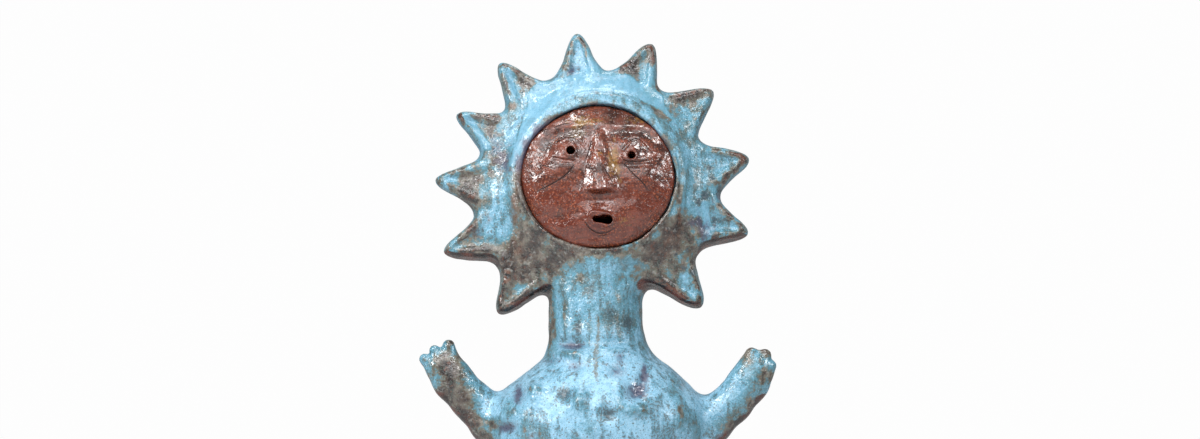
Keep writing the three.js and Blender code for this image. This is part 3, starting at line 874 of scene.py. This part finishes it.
clay_tone = glaze.mix(patchy.rises(-0.3, 0.6), colour(32, 20, 16), colour(86, 40, 26))
clay_tone = glaze.over(clay_tone, (small.rises(0.4, 1) * 0.4, (150, 76, 44)))
tone = glaze.mix((glaze.mask("under") + patchy * 0.35).rises(0.4, 0.7), tone, clay_tone)
inside = glaze.mask("inside").rises(0.3, 0.7)
glaze.feed("Base Color", glaze.over(tone, (inside, (132, 84, 62))))
rough = 0.34 + fine * 0.14 + small * 0.1 - glaze.mask("gloss") * 0.22
glaze.feed("Roughness", rough.or_more(0.12).or_more(inside * 0.8))
grains = glaze.pits(1.9) * 0.8 + patchy * 0.8 + small * 0.9 + fine * 0.2
glaze.bump(glaze.pits(3.4) * 1.2 + grains * (1 - 0.75 * poured) + poured * 3)
figure.data.materials.append(glaze.material)


# The face is a separate plate of the same clay under a clear glaze: a low dome with a pressed-up
# nose and brows, holes poked for eyes and a slot for the mouth, set in the front of the head.
PLATE_BACK = 14
PLATE_STEP = 0.4
MOUTH = (2.2, -25.9)
# Eye holes: x, z, radius.
EYES = [(-16.2, 14.8, 2.35), (19.8, 12.2, 2)]
# Brows as paths of x and z, and how wide they were scraped.
BROWS = [
    ([(-33, 14), (-29.5, 20), (-24, 23.6), (-18, 26), (-10, 26)], 3.8),
    ([(8.5, 25.6), (16, 25.4), (25.6, 26.2), (32, 22)], 3.2),
]
# Where the clay was pressed up or down: x, z, half width, half height, rise and, for one cheek, its
# lean. The cheeks, the left temple and the forehead, then under the nose, the lips and the chin.
FEATURES = [
    (-26, 2, 10, 7.5, 2.6, 0.4), (27, 1, 8, 8, 1.7), (35, 14, 4, 5, 1.2), (1, 33, 16, 5, 1.1),
    (1.5, -14.5, 12, 3.2, -1.5), (2.2, -26.6, 11, 6, 2.4), (1, -36, 10, 2.4, -0.8),
]
# Lines drawn in the soft clay with a pointed tool: x and z along them, then half width, in the
# plate's own frame. Lids first, then cheeks, the nose's side, the lips and scratches.
LINES = [
    ([(-24.4, 20.4), (-19.4, 23.2), (-15, 22.6), (-10.4, 20.4)], 0.36),
    ([(14.6, 15.6), (18, 20), (22.4, 22.2), (27, 20), (31.4, 15.2)], 0.36),
    ([(-26.8, 11.2), (-21, 9.6), (-16, 9.4), (-12, 8.4)], 0.4),
    ([(14.2, 10.8), (16, 8.8), (22, 8.2), (30.6, 9)], 0.45),
    ([(-14.4, 5.4), (-19.2, -0.3), (-25.2, -4.2), (-35.6, -9)], 0.48),
    ([(15.3, 6.7), (19, 2.6), (22, -0.6), (26.5, -4.6), (29.5, -8.8)], 0.42),
    ([(-3.9, 20.6), (-5.4, 14), (-8, 7.6)], 0.32),
    ([(3.2, 4.4), (5.4, 0.6), (8.2, -4.2)], 0.35),
    ([(-7.6, -27.8), (-4.6, -31.6), (0, -34), (5, -33.8), (10, -31.4)], 0.36),
    ([(-26, 29.4), (-21, 31.4), (-15.5, 31.6)], 0.3),
    ([(-33, 6.4), (-28, 4.4), (-25, 3.4)], 0.3),
]


def along_path(x, z, path):
    """Distance to a path of points, and how far along it the nearest one is, from 0 to 1."""
    best = np.full(np.broadcast(x, z).shape, np.inf)
    share = np.zeros_like(best)
    lengths = [math.dist(a, b) for a, b in zip(path, path[1:])]
    done = 0
    for (ax, az), (bx, bz), length in zip(path, path[1:], lengths):
        t = np.clip(((x - ax) * (bx - ax) + (z - az) * (bz - az)) / length**2, 0, 1)
        gap = np.hypot(x - ax - t * (bx - ax), z - az - t * (bz - az))
        share = np.where(gap < best, (done + t * length) / sum(lengths), share)
        best = np.minimum(best, gap)
        done += length
    return best, share


def nose_rise(x, z):
    """A wedge with a narrow flat front, widest and highest at its lower edge."""
    down = np.clip((27 - z) / 37, 0, 1)
    half = 3.8 + 8.4 * down**1.1
    middle = 0.5 + 1.3 * down
    side = np.clip(1 - (np.hypot(x - middle, 1.2 + down) - 1.2 - down) / (half - 1), 0, 1)
    side = side - 0.05 * np.sin(side * 2 * np.pi)
    height = 1.2 + 4.6 * down**1.15
    height = height - 0.7 * mound(x - 1.2, z - 14.5, 3, 2.4) + 0.5 * mound(x - 0.5, z - 9, 3, 4)
    foot = -10.4 - 0.5 * np.cos(x * 0.5)
    return height * side * step_up(z, foot - 1.2, foot + 1.8) * (1 - step_up(z, 22, 31))


def face_relief(x, z):
    """How far the face stands out towards the front, from the head's middle."""
    out = np.hypot(x / PLATE_HALF[0], z / PLATE_HALF[1])
    front = 19.8 + 8.2 * (1 - np.minimum(out, 1.05) ** 2.6)
    for (path, wide), (eye_x, eye_z, _), side in zip(BROWS, EYES, (-1, 1)):
        gap, share = along_path(x, z, path)
        ends = np.sqrt(np.sin(np.pi * np.clip(0.06 + 0.88 * share, 0, 1)))
        ex, ez = x - eye_x, z - eye_z
        front = front - 1.2 * ends * bell(gap, 1.15 * wide) + 0.3 * ends * bell(gap - 2.1 * wide, wide)
        front = front + 1.3 * mound(ex - 3 * side, ez + 0.5, 9, 6) + 0.7 * bell(np.hypot(ex, ez) - 3.2, 0.8)
        front = front - 0.9 * mound(ex - 2 * side, ez + 5.6, 8.5, 2)
    for path, half in LINES[:4] + LINES[8:9]:
        front = front + 0.3 * bell(along_path(x, z, path)[0] - half - 0.5, 0.5)
    front = front + nose_rise(x, z) + clouds(FEATURES, x, z)
    x_lips, z_lips = x - MOUTH[0], z - MOUTH[1]
    lips = np.hypot(np.maximum(np.abs(x_lips) - 3.2, 0), z_lips + 0.18 * x_lips)
    return front + bell(lips - 3.6, 1.1)


# The relief and its steepness are worked out once on a fine flat grid, and looked up from it.
FLAT_STEP = 0.2
FLAT_REACH = 52
flat = np.arange(-FLAT_REACH, FLAT_REACH, FLAT_STEP)
relief_map = face_relief(flat[:, None], flat[None, :])
slopes = np.gradient(relief_map, FLAT_STEP)
steepness_map = np.sqrt(1 + slopes[0] ** 2 + slopes[1] ** 2)


def looked_up(flat_map, x, z):
    column = np.clip((x + FLAT_REACH) / FLAT_STEP, 0, len(flat) - 1.01)
    row = np.clip((z + FLAT_REACH) / FLAT_STEP, 0, len(flat) - 1.01)
    i, j = column.astype(int), row.astype(int)
    u, v = (column - i).astype(np.float32), (row - j).astype(np.float32)
    flat_map = flat_map.astype(np.float32)
    near = flat_map[i, j] * (1 - u) + flat_map[i + 1, j] * u
    far = flat_map[i, j + 1] * (1 - u) + flat_map[i + 1, j + 1] * u
    return near * (1 - v) + far * v


def plate(x, y, z):
    px, pz, front = plate_place(x, y, z)
    face_side = (front - looked_up(relief_map, px, pz)) / looked_up(steepness_map, px, pz)
    return soft_max(soft_max(face_side, plate_outline(px, pz), 0.9), PLATE_BACK - front, 0.8)


def poke(eye_x, eye_z, radius):
    """A hole through the plate, narrower at the back."""
    def form(x, y, z):
        px, pz, front = plate_place(x, y, z)
        return np.hypot(px - eye_x, pz - eye_z) - radius * (0.9 + 0.012 * (front - 20))
    return form


def mouth(x, y, z):
    px, pz = plate_place(x, y, z)[:2]
    x = px - MOUTH[0]
    z = pz - MOUTH[1] + 0.06 * x
    upper = 0.7 * bell(x + 2.2, 1.8) * step_up(z, -0.2, 1.5)
    return np.hypot(np.maximum(np.abs(x) - 3.4, 0), z) - (2.1 + 0.1 * x) + upper


PLATE_BOX = ((-50, -42, 288), (50, -6, 392))
plate_clay = Clay(*PLATE_BOX, PLATE_STEP)
plate_clay.add(plate, PLATE_BOX)
for eye in EYES:
    plate_clay.cut(poke(*eye), PLATE_BOX, edge=0.7)
plate_clay.cut(mouth, PLATE_BOX, edge=0.9)
face = mesh_object("face_of_clay", *plate_clay.surface())
places, normals = vertices_of(face.data)
press = 0.9 * lumps(places, 16, 8) + 0.5 * lumps(places, 8, 5)
press += 0.16 * lumps(places, 4.2, 6) + 0.07 * lumps(places, 2.4, 7)
press_in(face.data, places, normals, press * step_up(head_place(*places.T)[2], 17, 20))
thin_out(face, 0.66, 0.1 + 0.9 * step_up(19 - head_place(*places.T)[2], 0, 2))


# The lines follow the face: a tree drops each path on to the plate, and sweeps a round point
# along it that bites deepest in the middle. They are then cut out of the plate.
class Tree(Nodes):
    """A Geometry Nodes tree, with one named input for each size."""

    def __init__(self, name, **inputs):
        self.tree = bpy.data.node_groups.new(name, "GeometryNodeTree")
        self.inputs = inputs
        self.ids = {}
        kinds = {"given": "NodeSocketGeometry", "on": "NodeSocketObject", "finish": "NodeSocketMaterial"}
        sockets = self.tree.interface
        for label in ["given", *inputs]:
            kind = kinds.get(label, "NodeSocketFloat")
            self.ids[label] = sockets.new_socket(label, in_out="INPUT", socket_type=kind).identifier
        sockets.new_socket("made", in_out="OUTPUT", socket_type="NodeSocketGeometry")
        start = self.tree.nodes.new("NodeGroupInput")
        self.given = {label: Value(self, start.outputs[label]) for label in self.ids}

    def finish(self, shape):
        whole = self.node("GeometryNodeRealizeInstances", {}, {0: shape})
        named = self.node("GeometryNodeSetMaterial", {}, {0: whole, "Material": self.given["finish"]})
        self.tree.links.new(named.socket, self.tree.nodes.new("NodeGroupOutput").inputs[0])

    def apply(self, target):
        grown = target.modifiers.new(self.tree.name, "NODES")
        grown.node_group = self.tree
        for label, value in self.inputs.items():
            grown[self.ids[label]] = value
        settle(target)


def line_tree(on, finish):
    tree = Tree("tool_line", on=on, finish=finish, spacing=0.0005, width=1.0, bite=0.0002)
    curve = tree.node("GeometryNodeMeshToCurve", {}, {0: tree.given["given"]})
    curve = tree.node("GeometryNodeCurveSplineType", {"spline_type": "CATMULL_ROM"}, {0: curve})
    curve = tree.node(
        "GeometryNodeResampleCurve", {"mode": "LENGTH"}, {0: curve, "Length": tree.given["spacing"]})
    surface = tree.node("GeometryNodeObjectInfo", {}, {0: tree.given["on"]}, "Geometry")
    forward = (0, TILT_COS, -TILT_SIN)
    hit = tree.node(
        "GeometryNodeRaycast", {},
        {"Target Geometry": surface, "Ray Direction": forward, "Ray Length": 0.1}, "Hit Position")
    deeper = tree.times(forward, tree.given["bite"])
    place = tree.node("ShaderNodeVectorMath", {"operation": "ADD"}, {0: hit, 1: deeper})
    curve = tree.node("GeometryNodeSetPosition", {}, {0: curve, "Position": place})
    share = tree.node("GeometryNodeSplineParameter", {}, {}, "Factor")
    swell = tree.math("POWER", tree.math("SINE", tree.math("MULTIPLY_ADD", share, 2.7, 0.5)), 0.5)
    half = tree.node("GeometryNodeInputNamedAttribute", {}, {"Name": "half_width"})
    radius = half * tree.given["width"] * swell
    curve = tree.node("GeometryNodeSetCurveRadius", {}, {0: curve, "Radius": radius})
    round_point = tree.node("GeometryNodeCurvePrimitiveCircle", {}, {"Resolution": 8, "Radius": 1})
    swept = tree.node(
        "GeometryNodeCurveToMesh", {}, {0: curve, 1: round_point, "Scale": radius, "Fill Caps": True})
    tree.finish(swept)
    return tree


# The paths start in front of the face, this far from the head's middle.
IN_FRONT = 40
skin = Finish("red_brown_clay", IOR=1.65)
line_points, line_edges, half_widths = [], [], []
for path, half in LINES:
    start = len(line_points)
    for x, z in path:
        line_points.append(in_head(PLATE_CENTRE[0] + x, PLATE_CENTRE[1] + z, IN_FRONT))
        half_widths.append(half * MM)
    line_edges += [(k, k + 1) for k in range(start, len(line_points) - 1)]
lines = mesh_object("tool_lines", line_points, [], line_edges)
keep(lines.data, half_width=half_widths)
line_tree(face, skin.material).apply(lines)
carve(face, [lines])

# The clay is wiped with ochre and umber, redder at the rim and towards the chin. Painted shade darkens
# the grooves where the tool bit, the hollows, the scraped brows with their umber, and under the nose.
# Ochre: x, z, half width, half height, strength, lean.
OCHRE = [
    (9, 10, 3.4, 13, 1.2, -0.1), (-13, 25.5, 6, 3, 1.4), (-4, 34, 24, 4, 0.5), (24, 33, 8, 4, 0.6),
    (0, 12, 3.4, 3, 0.8), (12, 2, 3, 9, 0.8, 0.3), (-9, 32, 9, 3.4, 0.8), (16, -27, 6, 5, 0.7),
]
places, normals = vertices_of(face.data)
px, pz, forward = plate_place(*places.T)
bite = np.full(len(places), float(FAR))
for path, half in LINES[4:]:
    bite = np.minimum(bite, along_path(px, pz, path)[0] - half)
brow_umber_and_shade = sum(bell(along_path(px, pz, path)[0], wide) for path, wide in BROWS)
out = np.hypot(px / PLATE_HALF[0], pz / PLATE_HALF[1])
keep(
    face.data,
    # Painted shade, darkest in the plate's hollows.
    hollow=plate_clay.fullness(places, 1.4) - 0.5,
    # Painted shade in the grooves the tool cut.
    line=bell(np.maximum(bite + 0.15, 0), 0.25) * (forward > 17),
    ochre=clouds(OCHRE, px, pz),
    # Dark in the scraped brows, partly umber and partly painted shade, and a painted shadow under the nose.
    umber=brow_umber_and_shade + 0.5 * mound(px - 2, pz + 15, 12, 3.5),
    rust=step_up(-pz, -10, 16) + 0.5 * step_up(out, 0.9, 1))

patchy = skin.grain(7, seed=2)
small = skin.grain(2.2, seed=4)
fine = skin.grain(1, seed=6)
wiped = skin.grain(1.6, stretch=(3, 1, 1), seed=8)
wide = skin.grain(14, seed=9)
dots = skin.grain(1.3, detail=1, seed=14)
skin.feed("Base Color", skin.over(
    skin.mix(patchy.rises(-0.4, 0.4), colour(60, 32, 25), colour(118, 64, 49)),
    ((skin.mask("rust") + wide * 0.4).rises(0.2, 1) * 0.65, (106, 44, 27)),
    ((wide * 0.7 + patchy * 0.6).rises(0.1, 0.6) * 0.7, (58, 30, 22)),
    ((skin.mask("ochre") + small * 0.6 + wiped * 0.4).rises(0.45, 1.2) * 0.75, (138, 102, 42)),
    ((skin.mask("umber") + small * 0.25).rises(0.3, 1) * 0.75, (44, 30, 26)),
    (wiped.rises(0.15, 0.7) * 0.5, (52, 30, 25)),
    ((fine + wide * 0.3).rises(0.15, 0.7) * 0.65, (172, 92, 56)),
    ((dots + patchy * 0.4).rises(0.2, 0.6) * 0.5, (50, 28, 23)),
    # The last two coats are painted shade: in the hollows and in the grooves the tool cut.
    ((skin.mask("hollow") * 5 + small * 0.2).rises(0.3, 1.2) * 0.45, (50, 26, 19)),
    (skin.mask("line").rises(0.3, 0.9) * 0.9, (56, 22, 12))))
skin.feed("Roughness", (0.16 + fine * 0.08 + wide * 0.03).or_more(skin.mask("line") * 0.5))
skin.bump(skin.pits(1.3) + skin.pits(2.1) * 0.6 + small * 0.2)
face.data.materials.append(skin.material)
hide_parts("face_plate")
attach(face, "root")


# The setting: a plain pale floor under a white dome that only the camera sees, lit by a broad sky in
# front, a blind and a skylight above, and windows and lamps to the left and right, which give the
# glaze its highlights. The camera is low in front, looking up a little.
def plain(name, shade, glow=0):
    made = Finish(name, Base_Color=(shade, shade, shade, 1), Roughness=0.9)
    made.shader.inputs["Emission Color"].default_value = (1, 1, 1, 1)
    made.shader.inputs["Emission Strength"].default_value = glow
    return made.material


FLOOR_REACH = 9 * METRE
DOME_RADIUS = 8 * METRE
DOME_TURNS = np.radians(np.arange(0, 360, 7.5))
corners = [(x * FLOOR_REACH, y * FLOOR_REACH, 0) for x, y in ((-1, -1), (1, -1), (1, 1), (-1, 1))]
floor = mesh_object("floor", corners, [(0, 1, 2, 3)])
floor.data.materials.append(plain("pale_floor", 0.62))
# The dome is a wall from just under the floor, with a flat top and no underside.
levels = [ring(DOME_TURNS, DOME_RADIUS, DOME_RADIUS, 0, 0, z * METRE) for z in (-0.5, 7)]
sides = len(DOME_TURNS)
dome_faces = [(i, (i + 1) % sides, (i + 1) % sides + sides, i + sides) for i in range(sides)]
dome_faces.append(tuple(range(sides, 2 * sides)))
dome = mesh_object("dome", np.concatenate(levels), dome_faces)
dome.data.shade_flat()
dome.data.materials.append(plain("white_dome", 0, 0.98))
dome.visible_diffuse = dome.visible_glossy = dome.visible_shadow = dome.visible_transmission = False

world = bpy.data.worlds.new("daylight")
world.use_nodes = True
background = world.node_tree.nodes["Background"]
background.inputs["Color"].default_value = (0.93, 0.96, 1, 1)
background.inputs["Strength"].default_value = 0.32
bpy.context.scene.world = world
bpy.context.scene.view_settings.view_transform = "Standard"

# Lights, which all face the top of the neck: place, width and height in metres, power and, where it
# isn't white, the tint.
LIT_PLACE = Vector((0, 0, 0.3))
LIGHTS = {
    "sky": ((-0.2, -1.8, 1.2), 2.2, 1.4, 13.5),
    "blind": ((-0.15, -1.3, 1.35), 0.8, 0.36, 4, (1, 0.97, 1)),
    "skylight": ((0, 0.1, 1.8), 0.9, 0.5, 8),
    "window": ((-0.75, -1.25, 0.95), 0.35, 0.28, 3),
    "side_window": ((-1.3, -0.7, 0.72), 0.35, 0.3, 8),
    "high_window": ((-0.94, -0.8, 1.33), 0.3, 0.26, 5.5),
    "upper_lamp": ((-0.4, -0.7, 1.55), 0.25, 0.25, 4),
    "front_lamp": ((0.6, -1.15, 1.2), 0.25, 0.25, 4),
    "fill": ((1.25, -0.8, 0.8), 0.35, 0.3, 4, (0.97, 0.98, 1)),
}
for name, (place, wide, high, power, *tint) in LIGHTS.items():
    lamp = bpy.data.lights.new(name, "AREA")
    lamp.shape = "ELLIPSE"
    lamp.size = wide
    lamp.size_y = high
    lamp.energy = power
    lamp.color = tint[0] if tint else (1, 1, 1)
    light = put(name, lamp)
    light.location = place
    light.rotation_euler = (LIT_PLACE - light.location).to_track_quat("-Z", "Y").to_euler()

PITCH = math.radians(4.5)
AWAY = 1.4
aim = Vector((0.0012, 0, 0.3181))
camera_data = bpy.data.cameras.new("camera")
camera_data.sensor_width = 36
camera_data.lens = 70
camera = put("camera", camera_data)
camera.location = aim - AWAY * Vector((0, math.cos(PITCH), math.sin(PITCH)))
camera.rotation_euler = (math.pi / 2 + PITCH, 0, 0)
bpy.context.scene.camera = camera
